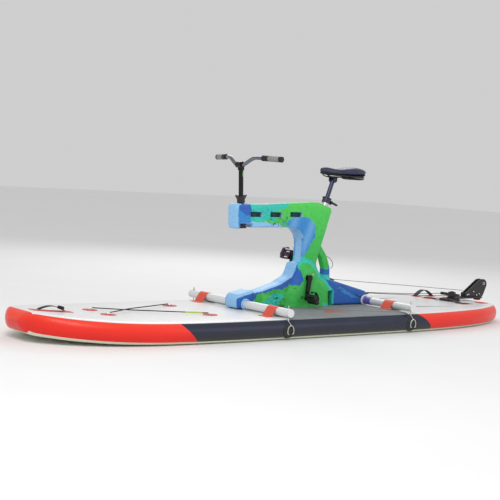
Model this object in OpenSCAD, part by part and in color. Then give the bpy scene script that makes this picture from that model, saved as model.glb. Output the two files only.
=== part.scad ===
/* [Board] */
// Overall length of the inflatable board
board_l = 3600; // [3500:10:3700]
// Overall width of the board
board_w = 950; // [940:5:960]
// Thickness of the board
board_t = 120; // [118:1:122]
// Height that the nose rises above the flat bottom
rocker = 45; // [40:1:60]
// Thickness of the deck pad
pad_t = 5; // [4:0.5:5]

/* [Frame] */
// Crank axle ahead of the middle of the board
crank_x = -130; // [-140:1:-120]
// Crank axle above the deck
crank_h = 185; // [184:1:186]
// Wall thickness of the moulded frame shells
wall = 5; // [4:0.5:5]
// Half width of the beam, column and base
spine_hw = 50; // [48:1:50]
// Half width of the crank housing
bulge_hw = 82; // [82:1:84]
// Forward lean of the steering axis in degrees
steer_lean = 4; // [3:0.5:5]
// Rearward lean of the seat post in degrees
seat_lean = 19.5; // [18:0.5:20]

/* [Cross tubes] */
// Outer radius of the cross tubes
tube_r = 23.5; // [22:0.5:23.5]
// Length of each cross tube
tube_l = 950; // [940:5:960]

/* [Drive] */
// Length of the crank arms between centres
crank_l = 125; // [122:1:130]
// Distance from the leg pivot to the propeller gearbox
leg_l = 165; // [160:1:166]
// Radius of the propeller
prop_r = 65; // [55:1:66]

/* [Handlebar and seat] */
// Radius of the handlebar post
post_r = 14; // [13:0.5:14]
// Radius of the seat post
seat_r = 13.6; // [12.7:0.1:13.6]
// Half length of the handlebar
bar_hw = 301; // [290:1:310]

/* [Hidden] */
$fn = 48;

deck_z = board_t;
rail_r = board_t / 2;
skin = 2;
gap = 0.3;
run = 0.05;
axle = [crank_x, 0, deck_z + crank_h];
pivot = [crank_x, 0, 95];
front_tube_x = 465;
rear_tube_x = -525;
tube_z = 33;
steer_foot = [491, 0, 622];
seat_foot = [-176, 0, 638];
well_front = 60;
well_back = -243;
well_hw = 78;
rudder_x = -1550;
pad_front = 400;
pad_back = -455;
pad_hw = 410;

// Half width of the board at hand-set stations along its length
outline = [
  [-1800, 175], [-1740, 245], [-1650, 302], [-1430, 388], [-1080, 452], [-730, 475], [470, 475],
  [1040, 458], [1350, 412], [1570, 322], [1700, 228], [1780, 138], [1800, 105]
];

// ---- shared shapes ----
function unit(v) = v / norm(v);

function slope_at(t, i) =
  let (a = t[max(i - 1, 0)], b = t[min(i + 1, len(t) - 1)]) (b.y - a.y) / (b.x - a.x);

// Smooth curve through the points of a table, read at x
function smooth(t, x, i = 0) =
  (i < len(t) - 2 && x > t[i + 1].x) ? smooth(t, x, i + 1) :
  let (
    h = t[i + 1].x - t[i].x,
    u = (x - t[i].x) / h,
    a = slope_at(t, i) * h,
    b = slope_at(t, i + 1) * h
  )
  t[i].y * (1 + 2 * u) * (1 - u) * (1 - u) + a * u * (1 - u) * (1 - u)
    + t[i + 1].y * u * u * (3 - 2 * u) - b * u * u * (1 - u);

// Arc that rounds corner b between a and c to radius r
function corner(a, b, c, r, n) =
  let (
    u = unit(a - b),
    v = unit(c - b),
    half = acos(u * v) / 2,
    mid = b + unit(u + v) * r / sin(half),
    s = b + u * r / tan(half) - mid,
    e = b + v * r / tan(half) - mid,
    a0 = atan2(s.y, s.x),
    turn = atan2(s.x * e.y - s.y * e.x, s * e)
  )
  [for (k = [0 : n]) mid + r * [cos(a0 + turn * k / n), sin(a0 + turn * k / n)]];

// Outline from corner points [x, y, radius]
function rounded(p, n = 6) = [
  for (i = [0 : len(p) - 1])
    let (
      a = p[(i + len(p) - 1) % len(p)],
      b = p[i],
      c = p[(i + 1) % len(p)]
    )
    each (b.z > 0 ? corner([a.x, a.y], [b.x, b.y], [c.x, c.y], b.z, n) : [[b.x, b.y]])
];

function normal(a, b) = let (e = unit(b - a)) [e.y, -e.x];

// Outline moved inwards by d, for points that run anticlockwise
function inset(p, d) = [
  for (i = [0 : len(p) - 1])
    let (
      n1 = normal(p[(i + len(p) - 1) % len(p)], p[i]),
      n2 = normal(p[i], p[(i + 1) % len(p)])
    )
    p[i] - d * (n1 + n2) / (1 + n1 * n2)
];

// Plate cut from a side outline, between two distances to port
module side(y0, y1) {
  translate([0, y1, 0]) rotate([90, 0, 0]) linear_extrude(y1 - y0) children();
}

// Rod between two points
module rod(a, b, r) {
  d = b - a;
  translate(a)
    rotate([0, acos(d.z / norm(d)), atan2(d.y, d.x)])
      cylinder(h = norm(d), r = r);
}

// Solid through a list of rings, each with the same number of points
module loft(rings) {
  m = len(rings[0]);
  n = len(rings);
  polyhedron(
    points = [for (r = rings) each r],
    faces = concat(
      [[for (k = [0 : m - 1]) k]],
      [for (i = [0 : n - 2], k = [0 : m - 1], h = [0, 1])
        let (a = i * m + k, b = a + m, c = (i + 1) * m + (k + 1) % m, d = i * m + (k + 1) % m)
        h == 0 ? [a, b, c] : [a, c, d]],
      [[for (k = [m - 1 : -1 : 0]) (n - 1) * m + k]]
    )
  );
}

// Point on a smooth curve through p at parameter t, counted in spans
function spline(p, t) =
  let (
    i = min(floor(t), len(p) - 2),
    u = t - i,
    a = p[max(i - 1, 0)],
    b = p[i],
    c = p[i + 1],
    d = p[min(i + 2, len(p) - 1)]
  )
  0.5 * (2 * b + (c - a) * u + (2 * a - 5 * b + 4 * c - d) * u * u
    + (3 * b - a - 3 * c + d) * u * u * u);

// Round tube swept along a smooth curve; fixed keeps the rings from twisting
module swept(p, r, steps = 3, sides = 8, fixed = [0, 0, 1]) {
  n = (len(p) - 1) * steps;
  q = [for (k = [0 : n]) spline(p, k / steps)];
  loft([
    for (k = [0 : n])
      let (
        d = unit(q[min(k + 1, n)] - q[max(k - 1, 0)]),
        s = unit(cross(fixed, d)),
        t = cross(d, s)
      )
      [for (j = [0 : sides - 1]) q[k] + r * (s * cos(360 * j / sides) + t * sin(360 * j / sides))]
  ]);
}

// Flat webbing bent along a side outline, width across y
module webbing(p, w, t) {
  n = len(p) - 1;
  up = [for (k = [0 : n])
    let (d = unit(p[min(k + 1, n)] - p[max(k - 1, 0)])) p[k] + t * [-d.y, d.x]];
  side(-w / 2, w / 2) polygon(concat(p, [for (k = [n : -1 : 0]) up[k]]));
}

module at_frame() { translate([crank_x, 0, deck_z]) children(); }
module at_axle() { translate(axle) children(); }
module at_pivot() { translate(pivot) children(); }
module at_steer() { at_frame() translate(steer_foot) rotate([0, steer_lean, 0]) children(); }
module at_seat() { at_frame() translate(seat_foot) rotate([0, -seat_lean, 0]) children(); }
module at_rudder() { translate([rudder_x, 0, deck_z]) children(); }
module mirrored() { for (s = [0, 1]) mirror([0, s, 0]) children(); }

// ---- board ----
function rise(x) = x < 490 ? 0 : rocker * pow((x - 490) / (board_l / 2 - 490), 4);

function half_width(x) = smooth(outline, x) * board_w / 950;

end = board_l / 2;
stations = [
  -end, -end + 6, -end + 22, -end + rail_r, -1650, -1540, -1430, -1260, -1080, -900, -730, -130, 470,
  760, 1040, 1200, 1350, 1470, 1570, 1640, 1700, end - rail_r, end - 22, end - 6, end
];

// Ring of the hull at x, pulled in by d
function hull_ring(x, d) =
  let (
    r0 = rail_r - d,
    s = max(end - d - abs(x), 1.5),
    q = s < r0 ? sqrt(1 - pow(1 - s / r0, 2)) : 1,
    r = r0 * q,
    w = half_width(x) - rail_r,
    z = rail_r + rise(x)
  )
  [for (k = [0 : 19])
    let (a = (k < 10 ? -90 : 90) + 180 * (k % 10) / 9, c = k < 10 ? w : -w)
    [x, c + r * cos(a), z + r * sin(a)]];

module hull_solid(d) { loft([for (x = stations) hull_ring(x * (1 - d / end), d)]); }

function slope(x) = x < 490 ? 0 : 4 * rocker * pow((x - 490) / (end - 490), 3) / (end - 490);

module on_deck(x, y, lift) {
  translate([x, y, deck_z + rise(x) + lift]) rotate([0, -atan(slope(x)), 0]) children();
}

module well(grow) {
  translate([crank_x + well_back - grow, -well_hw - grow, -10])
    cube([well_front - well_back + 2 * grow, 2 * (well_hw + grow), board_t + 20]);
}

// Web at mid height that stands for the threads between deck and bottom
module core_web() {
  loft([for (x = [-end - 10, 490, 760, 1040, 1300, 1550, end + 10])
    let (z = rail_r + rise(x))
    [[x, -600, z - 1], [x, 600, z - 1], [x, 600, z + 1], [x, -600, z + 1]]]);
}

module board() color("whitesmoke") difference() {
  hull_solid(0);
  difference() {
    hull_solid(skin);
    well(skin);
    core_web();
  }
  well(0);
  translate([valve.x, valve.y, board_t - 10]) cylinder(h = 20, r = 22);
}

pad_outline = rounded([
  [pad_back, -pad_hw, 20], [pad_front, -pad_hw, 20], [pad_front, pad_hw, 20], [pad_back, pad_hw, 20]
]);

module deck_pad() color("gray") difference() {
  at_frame() linear_extrude(pad_t) polygon(pad_outline);
  well(0);
}

valve = [-900, -220, deck_z];
module inflation_valve() color("dimgray") translate(valve) {
  difference() {
    cylinder(h = 4, r = 33);
    translate([0, 0, -1]) cylinder(h = 6, r = 22);
  }
  translate([0, 0, -9.5]) cylinder(h = 13.5, r = 21.5);
}

module patch(p, size, r = 12) {
  translate([p.x, p.y, deck_z + p.z])
    linear_extrude(1.5)
      polygon(rounded([
        [-size.x / 2, -size.y / 2, r], [size.x / 2, -size.y / 2, r],
        [size.x / 2, size.y / 2, r], [-size.x / 2, size.y / 2, r]
      ]));
}

bungee_ends = [[1290, 95], [690, 200]];
bow_x = 1580;
carry = [-1545, -262];

module red_patches() color("red") {
  for (p = bungee_ends, s = [-1, 1]) on_deck(p.x, s * p.y, 0.8)
    cylinder(h = 2, r = 42);
  for (s = [-1, 1]) on_deck(bow_x + s * 60, 0, 1) translate([-58, -30, 0]) cube([116, 60, 2]);
  for (s = [-1, 1]) patch([carry.x + s * 70, carry.y, 0], [50, 70]);
  for (s = [-1, 1]) patch([rudder_x + 50, s * 155, 0], [120, 70]);
  for (s = [-1, 1]) patch([rudder_x - 140, s * 150, 0], [80, 70]);
}

// Side outline of a handle's webbing, l long between its stitched ends and h high
function arch_points(l, h) = [for (k = [0 : 10]) [-l / 2 + l * k / 10, 2 + h * sin(18 * k)]];

module bow_handle() color("black") on_deck(bow_x, 0, 4) {
  webbing(arch_points(150, 20), 30, 3);
  translate([-56, 0, 17]) rotate([90, 0, 0]) cylinder(h = 44, r = 9, center = true);
}

module carry_handle() color("dimgray")
  translate([carry.x, carry.y, deck_z]) webbing(arch_points(170, 42), 38, 3);

module ring(r, t) { rotate_extrude() translate([r, 0]) circle(r = t, $fn = 16); }

hook_x = [crank_x + front_tube_x, crank_x + rear_tube_x];
hook_y = 454;

module d_rings() color("silver") {
  for (p = bungee_ends, s = [-1, 1]) on_deck(p.x, s * p.y, 5.4) ring(14, 2.5);
}

bungee_r = 3;
// Bungee crossing from each front ring to the opposite rear ring; one strand passes over the other
module bungee_cord() color("black") {
  for (s = [-1, 1])
    let (
      f = bungee_ends[0],
      e = bungee_ends[1],
      a = [f.x - 14, s * f.y, deck_z + rise(f.x) + 12],
      b = [e.x + 14, -s * e.y, deck_z + 11],
      m = [a.x - (a.x - b.x) * f.y / (f.y + e.y), 0, deck_z + 17 + 3.6 * s]
    )
    swept([a, (a + m) / 2, m, (m + b) / 2, b], bungee_r, 3);
}

// ---- cross tubes ----
strap_w = 80;
strap_t = 2.5;
strap_r = tube_r + 0.5;
// Side outline of a strap over a cross tube, with its long flap ahead of the tube
strap_path = concat(
  [[-60, 0.6], [-50, 0.6]],
  [for (a = [145 : -10 : 35]) [strap_r * cos(a), tube_z + strap_r * sin(a)]],
  [[52, 0.6], [84, 0.6]]
);
module tube_straps() color("orangered") at_frame() mirrored() {
  translate([front_tube_x, 330, 0]) webbing(strap_path, strap_w, strap_t);
  translate([rear_tube_x, 280, 0]) mirror([1, 0, 0]) webbing(strap_path, strap_w, strap_t);
}

module rail_patches() color("black") {
  for (x = hook_x, s = [-1, 1]) translate([x, s * (half_width(x) - rail_r), rail_r]) intersection() {
    rotate([0, 90, 0]) difference() {
      cylinder(h = 100, r = rail_r + 2.5, center = true);
      cylinder(h = 102, r = rail_r + 0.9, center = true);
    }
    translate([0, 0, -6]) rotate([s * -90, 0, 0]) cylinder(h = 80, r = 45);
  }
}

// Open shackle that hangs over the rail, seen from the side
shackle = [[-13, 0, -83], [-21, 0, -76], [-21, 0, -56], [-13, 0, -40], [0, 0, -34], [13, 0, -40],
  [21, 0, -56], [21, 0, -76], [13, 0, -83]];

module tie_hooks() color("silver") {
  for (x = hook_x, s = [-1, 1]) translate([x, s * hook_y, deck_z]) {
    translate([0, 0, tube_z + tube_r + 0.2]) cylinder(h = 4, r = 7, $fn = 6);
    translate([0, 0, -8]) cylinder(h = tube_z + tube_r + 26, r = 3);
    rod([0, 0, -8], [0, s * 30, -34], 2.6);
    translate([0, 0, -8]) rotate([0, 90, 0]) cylinder(h = 9, r = 4.5, center = true);
    translate([0, s * 30, 0]) swept(shackle, 3, 3, 8, [0, 1, 0]);
  }
}

module cross_tube(x) {
  at_frame() translate([x, 0, tube_z]) difference() {
    rotate([90, 0, 0]) cylinder(h = tube_l, r = tube_r, center = true);
    rotate([90, 0, 0]) cylinder(h = tube_l + 2, r = tube_r - 2, center = true);
    for (s = [-1, 1]) translate([0, s * hook_y, -40]) cylinder(h = 80, r = 3.1);
  }
}
module front_tube() color("gainsboro") cross_tube(front_tube_x);
module rear_tube() color("gainsboro") cross_tube(rear_tube_x);

module tube_end_caps() color("lightgray") {
  for (x = [front_tube_x, rear_tube_x]) at_frame() translate([x, 0, tube_z]) mirrored()
    translate([0, tube_l / 2, 0]) rotate([-90, 0, 0]) {
      cylinder(h = 3, r = tube_r);
      translate([0, 0, -14]) cylinder(h = 14, r = tube_r - 2.1);
    }
}

module tube_sleeve() color("mediumpurple")
  at_frame() translate([rear_tube_x, 0, tube_z]) mirrored()
    translate([0, spine_hw + 8, 0]) rotate([-90, 0, 0]) difference() {
      cylinder(h = 62, r = tube_r + 1.2);
      translate([0, 0, -1]) cylinder(h = 64, r = tube_r + run);
    }

// ---- frame ----
spine_points = [
  [-566, 6, 12], [520, 6, 15], [524, 84, 38], [252, 140, 300], [104, 172, 75], [96, 270, 20],
  [26, 276, 20], [20, 490, 105], [432, 482, 6], [432, 504, 3], [520, 504, 3], [520, 472, 8],
  [545, 472, 16], [556, 622, 26], [400, 620, 300], [-80, 648, 200], [-204, 612, 22],
  [-150, 440, 200], [-112, 330, 60], [-94, 262, 40], [-142, 192, 60], [-236, 165, 60],
  [-545, 88, 30]
];
bulge_points = [
  [-236, 6, 0], [118, 6, 0], [124, 236, 45], [60, 288, 40], [-30, 290, 45], [-82, 205, 60],
  [-150, 130, 60], [-236, 95, 20]
];
arch_outer = [
  [-110, 420, 0], [-144, 384, 25], [-200, 318, 60], [-234, 240, 60], [-238, 160, 0], [-180, 140, 0],
  [-180, 236, 60], [-155, 300, 30], [-120, 326, 10], [-100, 330, 0]
];
foot_points = [
  [404, 5.5, 0], [522, 5.5, 15], [526, 86, 38], [404, 112, 0]
];

function anticlockwise(p) = [for (k = [len(p) - 1 : -1 : 0]) p[k]];
spine = rounded(spine_points);
bulge = rounded(bulge_points);
arch = anticlockwise(rounded(arch_outer));
foot = rounded(foot_points);

foot_hw = 66;
recess_x = [[364, 454], [210, 303], [51, 147]];
screw_places = [
  [533, 596], [330, 592], [160, 608], [-40, 520], [-40, 400], [-98, 604], [168, 110], [-470, 50],
  [340, 30], [-400, 30]
];

module bore_y(x, z, r, y0, y1) { translate([x, y0, z]) rotate([-90, 0, 0]) cylinder(h = y1 - y0, r = r); }

module frame_outer() {
  side(0, spine_hw) polygon(spine);
  side(0, foot_hw) polygon(foot);
  side(0, bulge_hw) polygon(bulge);
  side(0, 24) polygon(arch);
}

module frame_inner() {
  side(-1, spine_hw - wall) polygon(inset(spine, wall));
  side(-1, foot_hw - wall) polygon(inset(foot, wall));
  side(-1, bulge_hw - wall) polygon(inset(bulge, wall));
}

module frame_bosses() {
  intersection() {
    side(0, spine_hw - 1) polygon(inset(spine, 1));
    union() {
      translate(steer_foot) rotate([0, steer_lean, 0]) {
        translate([0, 0, -34]) cylinder(h = 60, r = 30);
        translate([0, 0, -118]) cylinder(h = 26, r = 30);
      }
      translate(seat_foot) rotate([0, -seat_lean, 0]) translate([0, 0, -50]) cylinder(h = 90, r = 27);
      for (p = screw_places) bore_y(p.x, p.y, 8, 0, spine_hw);
    }
  }
  bore_y(0, crank_h, 27, bulge_hw - 22, bulge_hw - 1);
}

module frame_bores() {
  translate(steer_foot) rotate([0, steer_lean, 0]) translate([0, 0, -150]) cylinder(h = 200, r = 22);
  translate(seat_foot) rotate([0, -seat_lean, 0]) translate([0, 0, -210]) cylinder(h = 300, r = 20);
  bore_y(front_tube_x, tube_z, tube_r + run, -1, 100);
  bore_y(rear_tube_x, tube_z, tube_r + run, -1, 100);
  bore_y(0, crank_h, 21, -1, 100);
  for (r = recess_x) translate([r[0], spine_hw - 3, 548]) cube([r[1] - r[0], 10, 26]);
  for (p = screw_places) bore_y(p.x, p.y, 2.1, -1, 100);
  for (p = screw_places) bore_y(p.x, p.y, 4.2, spine_hw - 4, 100);
  translate([-600, 20, 72]) rotate([0, 90, 0]) cylinder(h = 60, r = 3);
  translate([400, 30.4, 490]) rotate([0, 90, 0]) cylinder(h = 50, r = 3);
  translate([well_back, -1, -1]) cube([well_front - well_back, bulge_hw - wall + 1, 13]);
}

module frame_half() {
  at_frame() difference() {
    union() {
      difference() {
        frame_outer();
        frame_inner();
      }
      frame_bosses();
    }
    frame_bores();
  }
}
module frame_port_shell() color("limegreen") frame_half();
module frame_starboard_shell() color("dodgerblue") mirror([0, 1, 0]) frame_half();

module shell_screws() color("dimgray") {
  at_frame() mirrored() for (p = screw_places) {
    bore_y(p.x, p.y, 2, 0.5, spine_hw - 3.5);
    bore_y(p.x, p.y, 4, spine_hw - 4, spine_hw - 1);
  }
}

module rubber_blocks() color("black") {
  at_frame() {
    for (x = [-330, 300]) translate([x - 25, -40, pad_t + 0.05]) cube([50, 80, 0.9]);
    translate([-515, -40, 0.05]) cube([50, 80, 5.9]);
  }
}

// ---- steering head ----
bush_r = 22;
steerer_r = 17;
module head_bushes() color("whitesmoke") at_steer() {
  for (z = [-22, -114]) translate([0, 0, z]) difference() {
    cylinder(h = 20, r = bush_r);
    translate([0, 0, -1]) cylinder(h = 22, r = steerer_r + run);
  }
}

module steerer_tube() color("dimgray") at_steer() difference() {
  translate([0, 0, -146]) cylinder(h = 186, r = steerer_r);
  translate([0, 0, -126]) cylinder(h = 180, r = post_r + run);
}

pulley_r = 33;
module steering_pulley() color("indigo") at_steer() translate([0, 0, -145]) difference() {
  union() {
    cylinder(h = 5, r = pulley_r);
    cylinder(h = 22, r = pulley_r - 5);
    translate([0, 0, 17]) cylinder(h = 5, r = pulley_r);
  }
  translate([0, 0, -1]) cylinder(h = 24, r = steerer_r);
}

module post_clamp() color("black") at_steer() difference() {
  union() {
    translate([0, 0, 3]) cylinder(h = 38, r = 23.5);
    for (s = [-1, 1]) translate([0, -8, 0]) rotate([90, 0, 0]) mirror([s > 0 ? 1 : 0, 0, 0])
      translate([0, 0, -16]) linear_extrude(16)
        polygon([[18, 22], [26, 26], [38, 46], [37, 50], [24, 46], [18, 38]]);
  }
  translate([0, 0, -1]) cylinder(h = 60, r = steerer_r);
}

stem_z = 218;
module handlebar_post() color("black") at_steer()
  translate([0, 0, -90]) cylinder(h = stem_z + 74, r = post_r);

bar_r = 11;
bar_mid = [8, 0, stem_z + 8];
// Half of the handlebar, from the stem out to the grip end, in the steering frame
bar_route = [
  [8, 0, stem_z + 8], [7.4, 38, stem_z + 10], [2, 72, stem_z + 28], [-6, 108, stem_z + 46],
  [-18, 150, stem_z + 50], [-58, bar_hw, stem_z + 44]
];

module stem() color("black") at_steer() difference() {
  union() {
    translate([0, 0, stem_z - 24]) cylinder(h = 20, r = 19);
    translate(bar_mid) rotate([90, 0, 0]) translate([0, 0, -24]) cylinder(h = 48, r = 19);
  }
  translate([0, 0, stem_z - 25]) cylinder(h = 9.05, r = post_r);
  translate(bar_mid) rotate([90, 0, 0]) translate([0, 0, -30]) cylinder(h = 60, r = bar_r + 0.3);
}

function bar_rings(s) = [
  for (k = [0 : 15])
    let (
      q = spline(bar_route, k / 3),
      a = spline(bar_route, max(k - 1, 0) / 3),
      b = spline(bar_route, min(k + 1, 15) / 3),
      d = unit(k == 0 ? [0, 1, 0] : b - a),
      u = unit(cross([1, 0, 0], d)),
      v = cross(d, u)
    )
    [for (j = [0 : 11])
      let (c = q + bar_r * (u * cos(30 * j) + v * sin(30 * j))) [c.x, s * c.y, c.z]]
];

module handlebar() color("dimgray") at_steer() {
  port = bar_rings(1);
  starboard = bar_rings(-1);
  loft(concat([for (k = [15 : -1 : 1]) starboard[k]], port));
}

grip_from = bar_route[4];
grip_to = bar_route[5];
grip_dir = unit(grip_to - grip_from);
module grips() color("gray") at_steer() mirrored()
  rod_sleeve(grip_from + 22 * grip_dir, grip_to + 4 * grip_dir, 16.5, bar_r + 0.4, 5);

// Round sleeve between two points, closed at its far end by a plug
module rod_sleeve(a, b, r, bore, plug) {
  difference() {
    rod(a, b, r);
    rod(a - unit(b - a), b - plug * 0.6 * unit(b - a), bore);
  }
}

// ---- seat ----
collar_r = 26;
module seat_sleeve() color("silver") at_seat() difference() {
  translate([0, 0, -190]) cylinder(h = 226, r = 20);
  translate([0, 0, -191]) cylinder(h = 240, r = seat_r + run);
}

module seat_collar() color("midnightblue") at_seat() difference() {
  union() {
    translate([0, 0, 6]) cylinder(h = 34, r = collar_r);
    translate([-44, -8, 10]) cube([24, 16, 24]);
    translate([0, 0, 34]) cylinder(h = 6, r = collar_r + 3);
  }
  translate([0, 0, -1]) cylinder(h = 37, r = 20);
  translate([0, 0, 30]) cylinder(h = 20, r = seat_r + 0.4);
  translate([-50, -1, 0]) cube([33, 2, 60]);
  translate(lever_pin) rotate([90, 0, 0]) cylinder(h = 30, r = 3 + run, center = true);
}

lever_pin = [-36, 0, 22];
module seat_lever() color("black") at_seat() translate(lever_pin) {
  translate([0, 8.4, 0]) rotate([-90, 0, 0]) cylinder(h = 9, r = 8);
  translate([-44, 8.4, -6]) cube([44, 9, 12]);
  translate([-44, 8.4, 0]) rotate([-90, 0, 0]) cylinder(h = 9, r = 6);
  translate([0, -12, 0]) rotate([-90, 0, 0]) cylinder(h = 21, r = 3);
  translate([0, -13, 0]) rotate([-90, 0, 0]) cylinder(h = 4.6, r = 6);
}

seat_top = 160;
barrel_r = 11;
module seat_post() color("darkslateblue") at_seat() {
  difference() {
    translate([0, 0, -140]) cylinder(h = seat_top + 140, r = seat_r);
    translate([0, 0, seat_top]) rotate([90, 0, 0]) translate([0, 0, -40]) cylinder(h = 80, r = barrel_r - 1);
  }
  translate([0, 0, seat_top]) rotate([90, 0, 0]) cylinder(h = 44, r = barrel_r, center = true);
}

tilt_axis = seat_foot + seat_top * [-sin(seat_lean), 0, cos(seat_lean)];
rail_z = 20;
rail_y = 22;
module saddle_clamp() color("black") at_frame() translate(tilt_axis) {
  mirrored() difference() {
    union() {
      translate([0, 14.2, 0]) rotate([-90, 0, 0]) cylinder(h = 7.8, r = 16);
      translate([-16, 14.2, 0]) cube([32, 7.8, 15]);
      translate([-18, 0, 14.5]) cube([36, 32, 2]);
      translate([-18, 16, 14.5]) cube([36, 16, 9]);
    }
    translate([0, 10, 0]) rotate([-90, 0, 0]) cylinder(h = 20, r = barrel_r + run);
    translate([-30, rail_y + 3, rail_z]) rotate([0, 90, 0]) cylinder(h = 60, r = 3.7);
  }
}

// Saddle half widths, underside and crown at stations from tail to nose, from the tilt axis
saddle_rows = [
  [-212, 58, 40, 66], [-200, 86, 34, 76], [-160, 104, 28, 83], [-110, 98, 26, 80],
  [-60, 70, 27, 72], [-10, 42, 28, 70], [40, 32, 30, 76], [80, 26, 34, 74], [98, 16, 40, 66]
];
base_t = 8;
function cushion_ring(r) = [
  for (k = [0 : 15])
    let (
      a = 360 * k / 16,
      low = r[2] + base_t + 0.5,
      h = sin(a) > 0 ? r[3] - low : 0.4
    )
    [r[0], r[1] * sign(cos(a)) * pow(abs(cos(a)), 0.7), low + h * sin(a)]
];

module saddle() color("midnightblue") at_frame() translate(tilt_axis)
  loft([for (r = saddle_rows) cushion_ring(r)]);

module saddle_base() color("dimgray") at_frame() translate(tilt_axis) {
  loft([for (r = saddle_rows) [for (p = [[1, 0], [1, 1], [-1, 1], [-1, 0]])
    [r[0], p.x * (r[1] - 6) * (p.y > 0 ? 1 : 0.8), r[2] + base_t * p.y]]]);
  y = rail_y + 3;
  mirrored() swept([[-148, y, rail_z + 11], [-112, y, rail_z + 4], [-74, y, rail_z], [-20, y, rail_z],
    [20, y, rail_z], [44, y, rail_z + 1.5], [66, y - 4, rail_z + 9], [80, y - 10, rail_z + 17]], 3.4, 2);
}

// ---- crank drive ----
spindle_r = 8;
module crank_bearings() color("silver") at_axle() mirrored()
  translate([0, bulge_hw - 22, 0]) rotate([-90, 0, 0]) difference() {
    cylinder(h = 22, r = 21);
    translate([0, 0, -1]) cylinder(h = 24, r = spindle_r + run);
  }

crank_in = bulge_hw + 8;
crank_t = 13;
module crank_spindle() color("dimgray") at_axle() rotate([90, 0, 0])
  cylinder(h = 2 * crank_in + 2 * crank_t - 4, r = spindle_r, center = true);

crank_tilt = 7;
// Crank arm that hangs down at rest, just to port of the crank housing
module crank_arm() {
  translate([0, crank_in, 0]) rotate([0, -crank_tilt, 0]) difference() {
    union() {
      rotate([-90, 0, 0]) cylinder(h = crank_t, r = 19);
      translate([0, 0, -crank_l]) rotate([-90, 0, 0]) cylinder(h = crank_t, r = 13);
      side(0, crank_t) polygon([[-15, -8], [-10, -crank_l], [10, -crank_l], [15, -8]]);
    }
    rotate([-90, 0, 0]) translate([0, 0, -1]) cylinder(h = crank_t - 1, r = spindle_r);
    translate([0, 0, -crank_l]) rotate([-90, 0, 0]) translate([0, 0, -1]) cylinder(h = 20, r = 6);
  }
}
module port_crank_arm() color("black") at_axle() crank_arm();
module starboard_crank_arm() color("black") at_axle() rotate([0, 180, 0]) mirror([0, 1, 0]) crank_arm();

gear_r = 40;
pinion_r = 10;
module teeth(n, r, depth, len_, tilt) {
  for (k = [0 : n - 1]) rotate([0, 0, 360 * k / n]) translate([r, 0, 0]) rotate([0, tilt, 0])
    cube([depth, PI * r / n, len_], center = true);
}

module crank_bevel() color("goldenrod") at_axle() rotate([90, 0, 0]) difference() {
  union() {
    translate([0, 0, 7.3]) cylinder(h = 3, r1 = 28, r2 = gear_r);
    translate([0, 0, 10.3]) cylinder(h = 8, r = gear_r);
    translate([0, 0, 18.3]) cylinder(h = 12, r = 16);
  }
  translate([0, 0, 0]) cylinder(h = 40, r = spindle_r);
  translate([0, 0, 8.3]) teeth(40, 36, 12, 1.6, -14);
}

// Bevel gear on +Z whose cone points at the origin
module bevel(pitch, apex, face, body, n) {
  small = pitch * (apex - face) / apex;
  difference() {
    union() {
      translate([0, 0, apex - face]) cylinder(h = face, r1 = small - gap, r2 = pitch - gap);
      translate([0, 0, apex]) cylinder(h = body, r = pitch - gap);
    }
    translate([0, 0, apex - face / 2])
      teeth(n, (small + pitch) / 2, 1.4, 2.4 * face, atan(pitch / apex));
  }
}

module drive_shaft() color("silver") {
  at_axle() {
    mirror([0, 0, 1]) bevel(pinion_r, gear_r, 12, 4, 10);
    translate([0, 0, -184]) cylinder(h = 141, r = 6);
  }
  at_pivot() bevel(10, 15, 6, 11, 12);
}

pin_r = 4;
module leg_bracket() color("gray") at_pivot() difference() {
  union() {
    translate([-20, -bulge_hw + wall, 32]) cube([40, 2 * (bulge_hw - wall), 6]);
    mirrored() translate([-14, 36, -12]) cube([28, 5, 45]);
    translate([0, 0, 38]) cylinder(h = 14, r = 14);
  }
  translate([0, 0, 20]) cylinder(h = 60, r = 6 + run);
  rotate([90, 0, 0]) cylinder(h = 100, r = pin_r, center = true);
}

module pivot_pin() color("silver") at_pivot() rotate([90, 0, 0]) {
  cylinder(h = 84, r = pin_r, center = true);
  for (s = [-1, 1]) translate([0, 0, s * 43.5]) cylinder(h = 3, r = 7, center = true);
}

module idler_bevel() color("goldenrod") at_pivot() rotate([-90, 0, 0]) difference() {
  bevel(15, 10, 4, 10, 18);
  cylinder(h = 60, r = pin_r + run);
}

module leg_housing() color("dimgray") at_pivot() difference() {
  union() {
    mirrored() {
      translate([0, 28, 0]) rotate([-90, 0, 0]) cylinder(h = 6, r = 11);
      translate([-46, 28, -11]) cube([46, 6, 22]);
    }
    translate([-46, -34, -11]) cube([16, 68, 22]);
    translate([-leg_l, 0, 0]) rotate([0, 90, 0]) cylinder(h = leg_l - 46, r = 13);
    translate([-leg_l + 4, 0, 0]) rotate([0, 90, 0]) cylinder(h = 26, r = 22);
    translate([-leg_l, 0, -34]) cylinder(h = 52, r = 24);
  }
  rotate([90, 0, 0]) cylinder(h = 100, r = pin_r + run, center = true);
  translate([-leg_l, 0, 0]) rotate([0, 90, 0]) cylinder(h = leg_l - 20, r = 5 + run);
  translate([-leg_l, 0, 0]) rotate([0, 90, 0]) cylinder(h = 26, r = 17);
  translate([-leg_l, 0, -28]) cylinder(h = 40, r = 19);
  translate([-leg_l, 0, -40]) cylinder(h = 40, r = 5 + run);
}

module leg_shaft() color("silver") at_pivot() {
  rotate([0, -90, 0]) bevel(10, 15, 6, 10, 12);
  translate([-leg_l + 18, 0, 0]) rotate([0, 90, 0]) cylinder(h = leg_l - 43, r = 5);
  translate([-leg_l, 0, 0]) rotate([0, 90, 0]) bevel(15, 10, 4, 8, 18);
}

module prop_shaft() color("silver") at_pivot() translate([-leg_l, 0, 0]) mirror([0, 0, 1]) {
  bevel(10, 15, 6, 6, 12);
  translate([0, 0, 20]) cylinder(h = 44, r = 5);
}

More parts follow.
